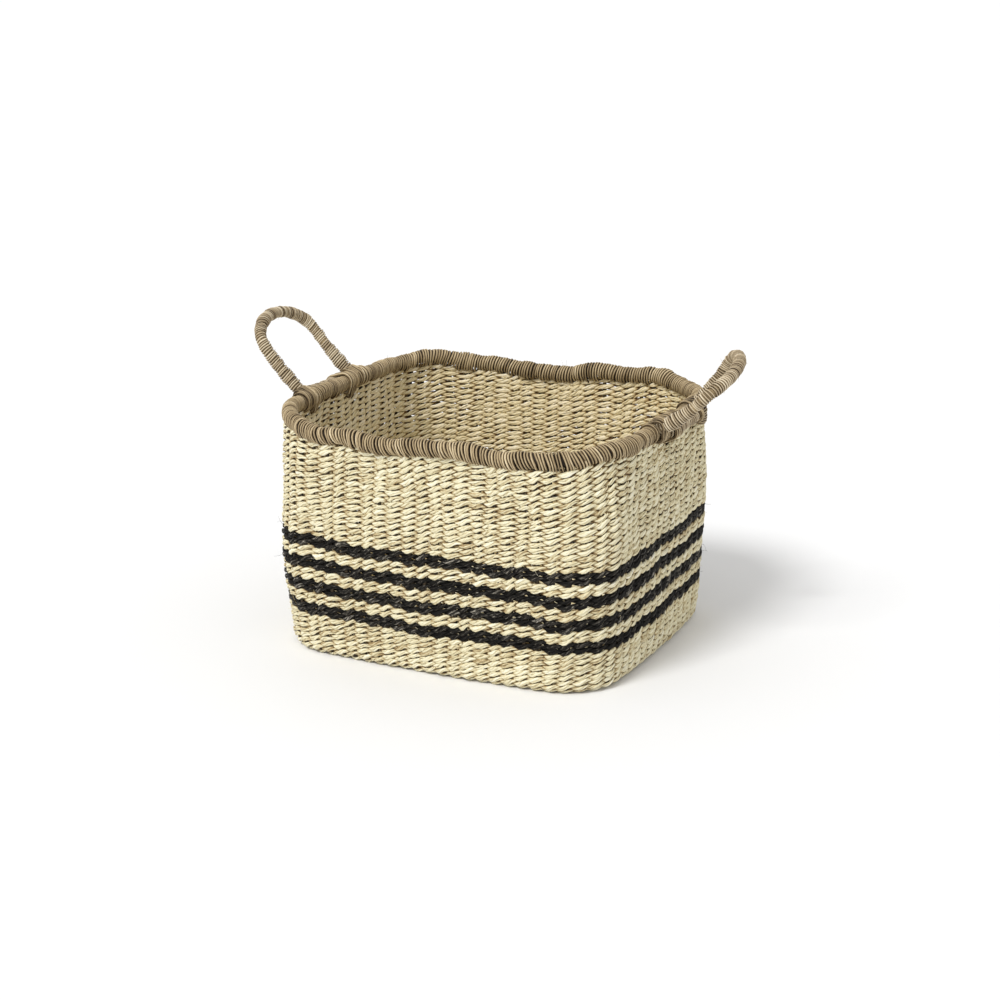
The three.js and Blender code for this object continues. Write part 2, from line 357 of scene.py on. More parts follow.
def twined_row(tubes, t, count, rng, steps, sides, spread=0.05):
    """Two strands twisted round each other between the stakes, one in front of each stake.

    Each strand is a few leaves twisted together: flat over a stake, round where the strands cross."""
    x = np.arange(count * steps) / steps
    stitch = np.floor(x + 0.5).astype(int) % count
    around = x / count
    place = t + row_wander(around, t)
    for strand in (0, 1):
        turn = math.pi * (x + strand)
        front = np.cos(turn)
        held = np.abs(front)
        loose = rng.normal(size=(4, count))[:, stitch] * held
        u = around + stake_wander(around, t)
        point, up, normal = wall_frame(u, place + strand_lift(turn, loose))
        middle = point + bulge(u, t)[:, None] * normal
        out = STRAND_DEPTH * front + UNEVEN_DEPTH * loose[3]
        tone = strand_tones(count, rng, spread)[stitch]
        phase = drifting(rng.normal(0, UNEVEN_TWIST, count), x) - math.pi * x
        full = 1 + UNEVEN_FULLNESS * drifting(rng.normal(size=count), x) - STRAND_TAPER * np.sin(2 * turn)
        full = full + LOOSENESS * uneven(around, t, 51, (4, 7, 12, 19), 25)
        spread_out = (LEAF_ROUND + (LEAF_SPREAD - LEAF_ROUND) * held) * full
        stacked = LEAF_ROUND + (LEAF_STACK - LEAF_ROUND) * held
        for leaf in range(LEAVES):
            angle = phase + leaf * 2 * math.pi / LEAVES
            angle = angle + drifting(rng.normal(0, UNEVEN_LEAF_TURN, count), x)
            aside = spread_out * np.cos(angle)
            depth = out + stacked * np.sin(angle)
            path = middle + up * aside[:, None] + normal * depth[:, None]
            wide = normal * (stacked * np.cos(angle))[:, None] - up * (spread_out * np.sin(angle))[:, None]
            width = LEAF_HALF_WIDTH * (full + drifting(rng.normal(0, UNEVEN_LEAF_WIDTH, count), x))
            own = tone + rng.normal(0, UNEVEN_LEAF_TONE)
            # Painted light and shade by the leaf's depth in the wall, over its own tone.
            shade = functools.partial(painted_depth_shading, middle=middle, normal=normal, tone=own)
            tubes.add(path, wide, width, LEAF_HALF_THICKNESS, shade, sides, True)


HAIR_RADIUS = 0.17
HAIR_STEPS = 7
WALL_HAIR_LENGTH = (6, 20)


def hair(tubes, root, direction, length, rng, tone):
    """A stray fibre, curling as it leaves the weave."""
    heading = unit(direction + rng.normal(0, 0.5, 3))
    curl = rng.normal(0, 0.22, 3)
    points = [np.array(root, float)]
    for _ in range(HAIR_STEPS):
        points.append(points[-1] + heading * length / HAIR_STEPS)
        heading = unit(heading + curl)
    taper = np.linspace(1, 0.45, HAIR_STEPS + 1) * HAIR_RADIUS
    tubes.add(np.array(points), np.array([0.31, 0.52, 0.8]), taper, taper, tone, 4)


def wall_hairs(tubes, low, high, amount, rng):
    for _ in range(amount):
        u = rng.uniform()
        t = rng.uniform(low, high)
        side = 1 if rng.uniform() < 0.7 else -1
        point, up, normal = (v[0] for v in wall_frame(np.array([u]), np.array([t])))
        along = np.cross(up, normal)
        root = point + side * normal * (WALL / 2 - 0.8)
        lean = side * normal * rng.uniform(0.25, 1) + along * rng.normal(0, 1) + up * rng.normal(0, 0.5)
        hair(tubes, root, lean, rng.uniform(*WALL_HAIR_LENGTH), rng, rng.uniform(0.4, 1.0))


def rows_piece(name, nodes, rows, material, seed, hairs, spread=0.05):
    rng = np.random.default_rng(seed)
    tubes = Tubes()
    for t in rows:
        twined_row(tubes, t, STAKES, rng, WALL_STEPS, WALL_SIDES, spread)
    wall_hairs(tubes, max(min(rows), 8), max(rows), hairs, rng)
    piece = tubes.build(name, material)
    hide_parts(*nodes)
    return piece


def evenly(low, high, count):
    return [low + (high - low) * (i + 0.5) / count for i in range(count)]


def wall_pieces(natural, black):
    top_of_foot = profile_at(STRIPES_BOTTOM)
    foot_rows = evenly(0, top_of_foot, FOOT_ROWS)
    for part, rows in enumerate((foot_rows[:4], foot_rows[4:]), 1):
        name = f"wall_foot_rows_{part}"
        rows_piece(name, ["wall_foot_weave"], rows, natural, 100 + part, 8)
    for number in range(1, STRIPE_COUNT + 1):
        stripe_piece(f"black_stripe_{number}", black, 110 + number, 26, 0.07)
        if number < STRIPE_COUNT:
            stripe_piece(f"natural_stripe_{number}", natural, 120 + number, 5, 0.05)
    upper = evenly(profile_at(STRIPES_TOP), profile_at(WALL_TOP), UPPER_ROWS)
    for part, rows in enumerate((upper[:5], upper[5:9], upper[9:13], upper[13:]), 1):
        name = f"upper_wall_rows_{part}"
        rows_piece(name, ["upper_wall_weave"], rows, natural, 130 + part, 12)


def stripe_piece(node, material, seed, hairs, spread):
    low, high = box_mm(node)
    rows = evenly(profile_at(low[2]), profile_at(high[2]), ROWS_PER_STRIPE)
    rows_piece(node + "_rows", [node], rows, material, seed, hairs, spread=spread)


def base_piece(natural):
    """Rows that run round and round over the base, each with fewer stitches than the last, from the short
    bundle of stalks at its heart."""
    rng = np.random.default_rng(140)
    outer, inner = Tubes(), Tubes()
    for row in range(BASE_ROWS):
        t = -ROW_HEIGHT * (row + 0.5)
        x, y = outline(np.linspace(0, 1, 200), np.zeros(200), FOOT_ROUND - t)
        around = np.hypot(np.diff(x), np.diff(y)).sum()
        count = max(4, 2 * round(around / BASE_STITCH / 2))
        tubes = outer if row < BASE_ROWS // 3 else inner
        twined_row(tubes, t, count, rng, BASE_STEPS, BASE_SIDES)
    heart = FOOT[0] - FOOT[1] + 8
    x = np.linspace(-heart, heart, 24)
    for stalk in range(HEART_STALKS):
        beside = HEART_SPACING * (stalk - (HEART_STALKS - 1) / 2)
        path = np.stack([x, beside + rng.normal(0, 0.2, 24), np.full(24, WALL / 2)], -1)
        inner.add(path, np.array([0, 1.0, 0]), 2.1, 1.4, rng.normal(0.5, 0.08), 6)
    for tubes, name in ((outer, "base_outer_rows"), (inner, "base_inner_rows")):
        piece = tubes.build(name, natural)
        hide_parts("base_weave")


def stake_piece(material):
    tubes = Tubes()
    for stake in range(STAKES):
        t = np.linspace(STAKE_FOOT, profile_at(WALL_TOP) + 1, 70)
        u = stake / STAKES + stake_wander(stake / STAKES, t)
        point, up, normal = wall_frame(u, t)
        path = point + normal * bulge(u, t)[:, None]
        along = np.cross(up, normal)
        tubes.add(path, along, STAKE_HALF_WIDTH, STAKE_HALF_THICKNESS, 0.0, 6)
    piece = tubes.build("warp_stakes", material)


# ---- cord wound round a path ----


class Path:
    """Points close together, with two unit vectors across them, that can be asked for at any distance."""

    def __init__(self, points, first=None):
        self.points = np.asarray(points, float)
        step = np.linalg.norm(np.diff(self.points, axis=0), axis=1)
        self.distance = np.concatenate([[0.0], np.cumsum(step)])
        self.length = self.distance[-1]
        self.along = tangents(self.points, False)
        self.first = self.carried() if first is None else first
        self.first = unit(self.first - (self.first * self.along).sum(-1, keepdims=True) * self.along)

    def carried(self):
        """A vector across the path, carried along it without twist."""
        vectors = [np.cross(self.along[0], [0.2, 1.0, 0.1])]
        for along in self.along[1:]:
            last = vectors[-1]
            vectors.append(unit(last - last.dot(along) * along))
        return np.array(vectors)

    def at(self, s):
        def read(values):
            return np.stack([np.interp(s, self.distance, values[:, k]) for k in range(3)], -1)

        along, first = unit(read(self.along)), unit(read(self.first))
        return read(self.points), along, first, np.cross(along, first)


def smooth_curve(points, per_span=12):
    """A Catmull-Rom curve through given points."""
    p = np.asarray(points, float)
    p = np.vstack([2 * p[0] - p[1], p, 2 * p[-1] - p[-2]])
    share = np.linspace(0, 1, per_span, endpoint=False)[:, None]
    spans = []
    for a, b, c, d in zip(p, p[1:], p[2:], p[3:]):
        straight = (c - a) * share + (2 * a - 5 * b + 4 * c - d) * share**2
        spans.append(b + 0.5 * (straight + (3 * b - a - 3 * c + d) * share**3))
    return np.vstack([*spans, p[-2:-1]])


CORD_FILL = 0.43  # half a turn's width, as a share of the distance from turn to turn
CORD_EDGE_SHADE = 0.85  # painted shade: how much darker the edges of a turn are than its middle, in the grooves between turns
CORD_SIDES = 7
CORD_TONES = (0.86, 0.1)  # middle and spread
TONE_LIMITS = (0.2, 1.3)
UNEVEN_PITCH = 0.07
UNEVEN_LEAN = 0.2
UNEVEN_REACH = 0.28


def wind(tubes, path, radius, rng, pitch, thickness, slant, tones=CORD_TONES, steps=14):
    """Winds one cord round a path. radius(s, angle) is the distance to the cord's outside."""
    turns = int(path.length / pitch)
    angle = np.linspace(0, 2 * math.pi * turns, turns * steps + 1)
    turn = angle / (2 * math.pi)

    def per_turn(sigma, size=turns + 1):
        return np.interp(turn, np.arange(size), rng.normal(0, sigma, size))

    lean = slant * (1 + per_turn(UNEVEN_LEAN)) * np.sin(angle + per_turn(UNEVEN_LEAN))
    s = turn * path.length / turns + per_turn(UNEVEN_PITCH * pitch) + lean
    s = np.clip(s, 0, path.length)
    centre, along, first, second = path.at(s)
    out = first * np.cos(angle)[:, None] + second * np.sin(angle)[:, None]
    reach = np.maximum(radius(s, angle) - thickness / 2 + per_turn(UNEVEN_REACH), 0.2)
    half_wide = CORD_FILL * pitch * (1 + per_turn(0.1))
    tone = np.clip(tones[0] + per_turn(tones[1]), *TONE_LIMITS)
    turns_path = centre + out * reach[:, None]
    tubes.add(turns_path, along, half_wide, thickness / 2, tone, CORD_SIDES, groove=CORD_EDGE_SHADE)


# ---- rim ----

# Where a new length of cord was laid in, as a share of each side's binding, and how far it stands out.
CORD_JOINS = {
    "back": ((0.13, 1.6), (0.42, 2.1), (0.63, 1.5), (0.86, 1.8)),
    "left": ((0.34, 1.2), (0.72, 1.4)),
    "front": ((0.09, 1.1), (0.37, 1.3), (0.66, 1.0), (0.93, 1.7)),
    "right": ((0.2, 1.8), (0.55, 1.4)),
}
JOIN_LENGTH = 9.0
RIM_PITCH = 3.2  # from turn to turn
RIM_CORD = 2.9  # the cord's thickness
RIM_SLANT = 2.2  # how far a turn leans along the rim from its middle
RIM_SHADE_CORE = 6.4  # radius of a dark inner layer, painted shade that shows between the turns
RIM_HANG = (0.8, 3.4)  # how far every turn hangs over the wall's last row, and how much more some do
RIM_HAIRS = 22


def rim_centre(u):
    x, y = outline(u, np.full_like(u, RIM_HEIGHT), WALL / 2)
    return np.stack([x, y, RIM_HEIGHT - sag(x) + rim_wave(u)], -1)


def corner_share():
    """u at the middle of the first corner of the rim."""
    a, b, r, _ = section(np.array(RIM_HEIGHT), WALL / 2)
    return float((b - r + r * math.pi / 4) / (b - r + r * math.pi / 2 + a - r)) / 4


def hoop_piece(material):
    """The cane hoop inside the rim, that the cord hides."""
    tubes = Tubes()
    points = rim_centre(np.linspace(0, 1, 480, endpoint=False))
    along = tangents(points, True)
    tubes.add(points, np.cross(along, [0, 0, 1.0]), HOOP_RADIUS, HOOP_RADIUS, 0.5, 12, True)
    piece = tubes.build("cane_hoop", material)
    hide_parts("rim_hoop")


def rim_piece(name, side, material):
    corner = corner_share()
    starts = (corner, 0.5 - corner, 0.5 + corner, 1 - corner, 1 + corner)
    u = np.linspace(starts[side], starts[side + 1], 500)
    points = rim_centre(u)
    along = tangents(points, False)
    path = Path(points, np.cross(along, [0, 0, 1.0]))
    rng = np.random.default_rng(200 + side)
    joins = CORD_JOINS[name]
    teeth = rng.uniform(0, 1, int(path.length / RIM_PITCH) + 2) ** 2

    def radius(s, angle):
        hang = np.maximum(np.sin(angle), 0) ** 2
        ragged = RIM_HANG[0] + RIM_HANG[1] * np.interp(s / RIM_PITCH, np.arange(len(teeth)), teeth)
        swell = 0.35 * np.sin(0.11 * s + side) + 0.3 * np.sin(0.29 * s)
        for share, height in joins:
            swell = swell + height * np.exp(-(((s - share * path.length) / JOIN_LENGTH) ** 2))
        return RIM_RADIUS + 0.1 + ragged * hang + swell

    tubes = Tubes()
    wind(tubes, path, radius, rng, RIM_PITCH, RIM_CORD, RIM_SLANT)
    # A dark tube under the turns, in the cord's darkest tone: painted shade between them.
    tubes.add(points[::4], path.first[::4], RIM_SHADE_CORE, RIM_SHADE_CORE, 0.0, 10)
    for _ in range(RIM_HAIRS):
        s = rng.uniform(5, path.length - 5)
        angle = rng.uniform(-3.6, 0.5)
        centre, along_here, first, second = (v[0] for v in path.at(np.array([s])))
        out = first * math.cos(angle) + second * math.sin(angle)
        lean = out + along_here * rng.normal(0, 1.2)
        hair(tubes, centre + out * (RIM_RADIUS - 1), lean, rng.uniform(4, 11), rng, rng.uniform(0.2, 0.9))
    piece = tubes.build(f"rim_cord_{name}", material)
    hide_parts(f"rim_binding_{name}")


# ---- handles, drawn for the right side and turned half round for the left ----

# How each rope handle has come to lie. shoulder and reach are the lengths along it from the rim's middle to
# where its legs end and to the top of its loop. foot, legs and tip are its leans at the rim and at those two
# places, in degrees from upright. The near leg leans outward by twist more, and the far leg by as much less.
HANDLES = {
    "right": {"shoulder": 66, "reach": 95.5, "foot": 56.5, "legs": 35, "tip": 70, "twist": 7.8},
    "left": {"shoulder": 72, "reach": 106, "foot": 49, "legs": 40, "tip": 38, "twist": 0},
}
HANDLE_PITCH = 2.7
HANDLE_CORD = 2.4
HANDLE_SLANT = 1.0
HANDLE_TONES = (0.86, 0.14)
HANDLE_HAIRS = 16
NEAR_Y = HINGE[1] - HANDLE_HALF_WIDTH
FAR_Y = HINGE[1] + HANDLE_HALF_WIDTH
OUT = np.array([1.0, 0, 0])
ALONG_RIM = np.array([0, 1.0, 0])
UP = np.array([0, 0, 1.0])


def from_hinge(out, y, up):
    return [HINGE[0] + out, y, HINGE[2] + up]


def handle_point(shape, across, along):
    twist = shape["twist"] * across / HANDLE_HALF_WIDTH
    leg = min(along, shape["shoulder"])
    loop = along - leg
    leg_bend = (shape["legs"] - shape["foot"]) / shape["shoulder"]
    loop_bend = (shape["tip"] - shape["legs"]) / (shape["reach"] - shape["shoulder"])
    leg_lean = math.radians(shape["foot"] - twist + leg_bend * leg / 2)
    loop_lean = math.radians(shape["legs"] - twist + loop_bend * loop / 2)
    out = leg * math.sin(leg_lean) + loop * math.sin(loop_lean)
    up = leg * math.cos(leg_lean) + loop * math.cos(loop_lean)
    return from_hinge(out, HINGE[1] + across, up)


def handle_route(shape, rng):
    """From inside the rim up the near leg, over the loop and down the far leg."""

    def leg(across):
        lengths = (2, 14, 26, 38, 50, shape["shoulder"] - 9)
        return [handle_point(shape, across + rng.normal(0, 0.5), along) for along in lengths]

    arch = []
    for angle in np.linspace(math.pi, 0, 9):
        along = shape["shoulder"] + (shape["reach"] - shape["shoulder"]) * math.sin(angle)
        arch.append(handle_point(shape, HANDLE_HALF_WIDTH * math.cos(angle) + rng.normal(0, 0.5), along))
    return Path(smooth_curve(leg(-HANDLE_HALF_WIDTH) + arch + leg(HANDLE_HALF_WIDTH)[::-1]))


ROPE_CORE = ROPE_RADIUS - 0.9
ROPE_SWELL = 0.6  # how far the wound cord stands out past the CAD model's rope
FOOT_SWELL = 1.1  # and how much further where a leg is wound twice
FOOT_SWELL_AT = 26
FOOT_SWELL_LENGTH = 14


def rope_radius(s):
    return ROPE_RADIUS + ROPE_SWELL + 0.3 * np.sin(0.09 * s) + 0.22 * np.sin(0.31 * s + 1)


def leg_radius(path):
    """The rope's radius along a handle: both legs are wound over twice near the rim."""

    def radius(s, angle):
        from_foot = np.minimum(s, path.length - s)
        swell = np.exp(-(((from_foot - FOOT_SWELL_AT) / FOOT_SWELL_LENGTH) ** 2))
        return rope_radius(s) + FOOT_SWELL * swell

    return radius


def handle_pieces(side, half_turned, cord, fibre, seed):
    rng = np.random.default_rng(seed)
    path = handle_route(HANDLES[side], rng)
    wrap = Tubes()
    wind(wrap, path, leg_radius(path), rng, HANDLE_PITCH, HANDLE_CORD, HANDLE_SLANT, HANDLE_TONES, 12)
    for _ in range(HANDLE_HAIRS):
        s = rng.uniform(20, path.length - 20)
        centre, along, first, second = (v[0] for v in path.at(np.array([s])))
        angle = rng.uniform(0, 2 * math.pi)
        out = first * math.cos(angle) + second * math.sin(angle)
        hair(wrap, centre + out * (ROPE_RADIUS - 0.8), out + along * rng.normal(0, 1.3), 6, rng, 0.7)
    core = Tubes()
    # The rope under the wrap, in its own colour darkened as painted shade between the turns.
    core.add(path.points[::4], path.first[::4], ROPE_CORE, ROPE_CORE, 0.0, 10)
    names = (f"handle_cord_{side}", f"handle_rope_{side}")
    nodes = (f"handle_binding_{side}", f"handle_core_{side}")
    for tubes, name, node, material, slot in zip(
        (wrap, core), names, nodes, (cord, fibre), ("handle_cord", "rope_core")
    ):
        piece = tubes.build(name, material, None, half_turned)
        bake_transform(piece)
        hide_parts(node)


TAIL_PITCH = 2.6
TAIL_CORD = 2.1
TAIL_SLANT = 0.4
TAIL_CORE = ROPE_RADIUS - 1.0


def rope_end(name, points, cord, seed, half_turned):
    """The wrapped end of the handle's rope, closing to a dome."""
    path = Path(smooth_curve(points))
    rng = np.random.default_rng(seed)

    def radius(s, angle):
        left = np.clip((path.length - s) / ROPE_RADIUS, 0, 1)
        return rope_radius(s) * np.sqrt(1 - (1 - left) ** 2)

    tubes = Tubes()
    wind(tubes, path, radius, rng, TAIL_PITCH, TAIL_CORD, TAIL_SLANT, steps=12)
    # The rope under the turns, in the cord's darkest tone: painted shade between the turns.
    tubes.add(path.points[:-8:3], path.first[:-8:3], TAIL_CORE, TAIL_CORE, 0.0, 10)
    piece = tubes.build(name.replace("rope_end", "rope_tail"), cord, "basket", half_turned)
    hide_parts(name)


# The near rope's end lies along the rim's outside, this far out and below its middle, and shows past the
# lashing. The far one turns down the wall.
TAIL_OUT = RIM_RADIUS + ROPE_RADIUS - 0.8
TAIL_DOWN = 2.2
TAIL_TIP_Y = box_mm("rope_end_right_front")[1][1] - 12  # a little short of the CAD model's
FOOT_BUNDLE = {"right": 9.0, "left": 6.5}  # radius of the turns over the near rope's foot
FAR_BUNDLE = 6.5
NEAR_LASHED = (10.0, 25.0)  # stretch of the rope's end that is bound to the rim, from the middle of the foot
FAR_LASHED = (-9.0, -3.0)
LASHING_PITCH = 2.9
LASHING_CORD = (1.35, 1.25)  # half width and half thickness of a turn
LASHING_TONES = (0.85, 0.15)
BESIDE_FOOT = (-15.2, -12.4, 12.4, 15.2)
OVER_FOOT = np.arange(-9.6, 9.7, 2.75)
BUNDLE_AT = (6.2, 5.2)  # the bundle's middle, out of and above the rim's
BUNDLE_TAPER = 0.025  # how fast it gets thinner to both sides of the foot
UNDER_FOOT = (9.0, -3.5, 4.0)  # the rope as it turns from the foot to its end
HANGING = (-4.5, -13.0, 0.5)  # where the turns come out through the weave, inside the wall


def tail_along_rim():
    low = -TAIL_DOWN
    return [
        from_hinge(6, NEAR_Y + 7, low + 2),
        from_hinge(TAIL_OUT - 2, NEAR_Y + 13, low),
        from_hinge(TAIL_OUT, NEAR_Y + 21, low),
        from_hinge(TAIL_OUT, NEAR_Y + 36, low),
        from_hinge(TAIL_OUT + 0.6, NEAR_Y + 52, low + 0.5),
        from_hinge(TAIL_OUT + 1.6, NEAR_Y + 66, low + 1.2),
        from_hinge(TAIL_OUT + 2.2, TAIL_TIP_Y, low + 2.0),
    ]


def tail_down_wall():
    return [
        from_hinge(5, FAR_Y + 1, 5),
        from_hinge(TAIL_OUT - 4.5, FAR_Y + 3, 2),
        from_hinge(TAIL_OUT - 3.8, FAR_Y + 5, -5),
        from_hinge(TAIL_OUT - 4.6, FAR_Y + 6, -12),
        from_hinge(TAIL_OUT - 5.6, FAR_Y + 6, -19),
    ]


def bound_loop(tubes, y, circles, rng, lean=0.0):
    """One turn of cord pulled tight round circles, each given by how far out of and above the rim's middle
    it lies, and its radius."""
    angle = np.arange(30) * 2 * math.pi / 30
    heading = np.stack([np.cos(angle), np.sin(angle)], -1)
    circles = np.array(circles)
    circles[:, 2] += rng.uniform(0.9, 1.7)
    reach = heading @ circles[:, :2].T + circles[:, 2]
    chosen = circles[reach.argmax(1)]
    edge = chosen[:, :2] + heading * chosen[:, 2:]
    bow = TOP[3] * ((HANDLE_HALF_WIDTH / TOP[1]) ** 2 - (y / TOP[1]) ** 2)
    centre = np.array([HINGE[0] + bow, y, HINGE[2]])
    points = centre + edge[:, :1] * OUT + edge[:, 1:] * UP
    points = points + (lean * np.cos(angle - 0.5))[:, None] * ALONG_RIM
    wide = np.broadcast_to(ALONG_RIM, points.shape)
    tone = rng.normal(*LASHING_TONES)
    tubes.add(points, wide, *LASHING_CORD, tone, CORD_SIDES, True, CORD_EDGE_SHADE)


def lashing_piece(name, foot_y, bundle, tail, lashed, cord, seed, half_turned):
    """Turns beside and over the rope's foot, and the ones that bind the rope's end to the rim."""
    rng = np.random.default_rng(seed)
    tubes = Tubes()
    rim = (0.0, 0.0, RIM_RADIUS)
    for beside in BESIDE_FOOT:
        bound_loop(tubes, foot_y + beside + rng.normal(0, 0.3), [rim], rng, rng.normal(0, 0.8))
    for over_foot in OVER_FOOT:
        around = [rim, (*BUNDLE_AT, bundle - BUNDLE_TAPER * over_foot**2), UNDER_FOOT]
        bound_loop(tubes, foot_y + over_foot + rng.normal(0, 0.3), around, rng, rng.normal(0, 1.4))
    for y in np.arange(foot_y + lashed[0], foot_y + lashed[1], LASHING_PITCH):
        drop = HANGING[1] + rng.uniform(-3.5, 2.5)
        turns = [rim, tail, (HANGING[0], drop, HANGING[2])]
        bound_loop(tubes, y + rng.normal(0, 0.3), turns, rng, rng.normal(0, 0.7))
    piece = tubes.build(name + "_cord", cord, "basket", half_turned)
    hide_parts(name)


def handle_side(side, near, far, half_turned, rim_cord, handle_cord, fibre, seed):
    handle_pieces(side, half_turned, handle_cord, fibre, seed)
    rope_end(f"rope_end_{side}_{near}", tail_along_rim(), handle_cord, seed + 1, half_turned)
    rope_end(f"rope_end_{side}_{far}", tail_down_wall(), handle_cord, seed + 2, half_turned)
    along = (TAIL_OUT, -TAIL_DOWN, ROPE_RADIUS)
    down = (TAIL_OUT - 4.0, -5.0, ROPE_RADIUS - 0.3)
    near_name, far_name = f"foot_lashing_{side}_{near}", f"foot_lashing_{side}_{far}"
    lashing_piece(near_name, NEAR_Y, FOOT_BUNDLE[side], along, NEAR_LASHED, rim_cord, seed + 3, half_turned)
    lashing_piece(far_name, FAR_Y, FAR_BUNDLE, down, FAR_LASHED, rim_cord, seed + 4, half_turned)


# ---- materials ----


def srgb(red, green, blue):
    def linear(value):
        value /= 255
        return value / 12.92 if value <= 0.04045 else ((value + 0.055) / 1.055) ** 2.4

    return (linear(red), linear(green), linear(blue), 1.0)


class Nodes:
    """A short way to write a material's node tree."""

    def __init__(self, name):
        self.material = bpy.data.materials.new(name)
        self.material.use_nodes = True
        self.tree = self.material.node_tree
        self.shader = self.tree.nodes["Principled BSDF"]

    def new(self, kind, inputs=(), **settings):
        node = self.tree.nodes.new(kind)
        for key, value in settings.items():
            setattr(node, key, value)
        for key, value in dict(inputs).items():
            if isinstance(value, bpy.types.NodeSocket):
                self.tree.links.new(value, node.inputs[key])
            else:
                node.inputs[key].default_value = value
        return node

    def link(self, socket, name):
        self.tree.links.new(socket, self.shader.inputs[name])

    def math(self, operation, a, b):
        return self.new("ShaderNodeMath", {0: a, 1: b}, operation=operation).outputs[0]

    def ramp(self, value, stops):
        node = self.new("ShaderNodeValToRGB", {"Fac": value})
        ramp = node.color_ramp
        while len(ramp.elements) < len(stops):
            ramp.elements.new(0.5)
        for element, (position, colour) in zip(ramp.elements, stops):
            element.position = position
            element.color = colour
        return node.outputs["Color"]


def fibre_noise(nodes, along, across, detail=3.0, shift=0.0):
    """Noise drawn out along each strand, from the coordinates its mesh carries."""
    fibre = nodes.new("ShaderNodeAttribute", attribute_name="fibre").outputs["Vector"]
    scaled = nodes.new(
        "ShaderNodeVectorMath",
        {0: fibre, 1: (1 / along, 1 / across, 3.7)},
        operation="MULTIPLY",
    ).outputs[0]
    moved = nodes.new("ShaderNodeVectorMath", {0: scaled, 1: (shift, shift, 0)}).outputs[0]
    inputs = {"Vector": moved, "Scale": 1.0, "Detail": detail, "Roughness": 0.6}
    return nodes.new("ShaderNodeTexNoise", inputs).outputs["Fac"]


def inward_painted_bounce(nodes, colour, tint):
    """Painted warm bounce light and shade: multiplies colour by tint where a face looks towards the basket's
    middle.
    """
    geometry = nodes.new("ShaderNodeNewGeometry").outputs
    level = nodes.new(
        "ShaderNodeVectorMath",
        {0: geometry["Position"], 1: (1, 1, 0)},
        operation="MULTIPLY",
    ).outputs[0]
    outward = nodes.new(
        "ShaderNodeVectorMath",
        {0: level, 1: geometry["Normal"]},
        operation="DOT_PRODUCT",
    ).outputs["Value"]
    limits = {"Value": outward, "From Min": 0.0, "From Max": -0.08}
    inward = nodes.new("ShaderNodeMapRange", limits).outputs[0]
    change = [part - 1 for part in tint]
    amount = nodes.new(
        "ShaderNodeVectorMath",
        {0: inward, 1: change, 2: (1, 1, 1)},
        operation="MULTIPLY_ADD",
    ).outputs[0]
    return nodes.new("ShaderNodeVectorMath", {0: colour, 1: amount}, operation="MULTIPLY").outputs[0]


STREAK_SPREAD = 0.5  # how much the long streaks change a strand's tone


def plant_fibre(name, stops, streak, roughness, bump, fine, shine=0.35, inside=None):
    """Dried leaf: a tone from the mesh, long streaks and fine fibres along the strand.

    inside, if given, tints the faces that look into the basket: painted warm bounce light and shade."""
    nodes = Nodes(name)
    tone = nodes.new("ShaderNodeAttribute", attribute_name="tone").outputs["Fac"]
    long_streaks = fibre_noise(nodes, 16, 1.3)
    fine_fibres = fibre_noise(nodes, 5, fine, 4.0, 7.3)
    patch = nodes.math("MULTIPLY", nodes.math("SUBTRACT", long_streaks, 0.5), STREAK_SPREAD)
    fleck = nodes.math("MULTIPLY", nodes.math("SUBTRACT", fine_fibres, 0.5), streak)
    shade = nodes.math("ADD", nodes.math("ADD", tone, patch), fleck)
    colour = nodes.ramp(shade, stops)
    nodes.link(colour if inside is None else inward_painted_bounce(nodes, colour, inside), "Base Color")
    rough = nodes.math("ADD", nodes.math("MULTIPLY", fine_fibres, 0.25), roughness - 0.12)
    nodes.link(rough, "Roughness")
    height = nodes.math("ADD", nodes.math("MULTIPLY", long_streaks, 0.5), fine_fibres)
    bumped = nodes.new("ShaderNodeBump", {"Height": height, "Strength": bump, "Distance": 0.0006})
    nodes.link(bumped.outputs["Normal"], "Normal")
    nodes.shader.inputs["Specular IOR Level"].default_value = shine
    return nodes.material


def natural_seagrass():
    stops = (
        (0.0, srgb(92, 68, 34)),
        (0.3, srgb(176, 152, 108)),
        (0.52, srgb(218, 207, 168)),
        (0.74, srgb(239, 232, 201)),
        (1.0, srgb(252, 248, 232)),
    )
    # Painted light and shade: the faces looking into the basket get a warmer, darker tint, as from light
    # bounced inside it.
    return plant_fibre("natural_seagrass", stops, 0.95, 0.62, 1.0, 0.8, inside=(1.0, 0.925, 0.82))


def black_seagrass():
    stops = (
        (0.0, srgb(4, 3, 2)),
        (0.5, srgb(18, 16, 13)),
        (0.68, srgb(38, 35, 31)),
        (0.86, srgb(88, 84, 76)),
        (1.0, srgb(166, 160, 148)),
    )
    return plant_fibre("black_seagrass", stops, 1.7, 0.6, 0.9, 0.8, shine=0.15)


def rim_cord_material():
    stops = (
        (0.0, srgb(40, 29, 13)),
        (0.3, srgb(98, 80, 54)),
        (0.55, srgb(148, 128, 95)),
        (0.8, srgb(192, 171, 133)),
        (1.0, srgb(232, 215, 180)),
    )
    return plant_fibre("brown_cord", stops, 0.7, 0.6, 0.6, 0.4)


def handle_cord_material():
    stops = (
        (0.0, srgb(50, 37, 21)),
        (0.3, srgb(118, 99, 72)),
        (0.55, srgb(168, 149, 119)),
        (0.8, srgb(200, 184, 154)),
        (1.0, srgb(230, 217, 190)),
    )
    return plant_fibre("handle_cord", stops, 0.7, 0.6, 0.6, 0.4)


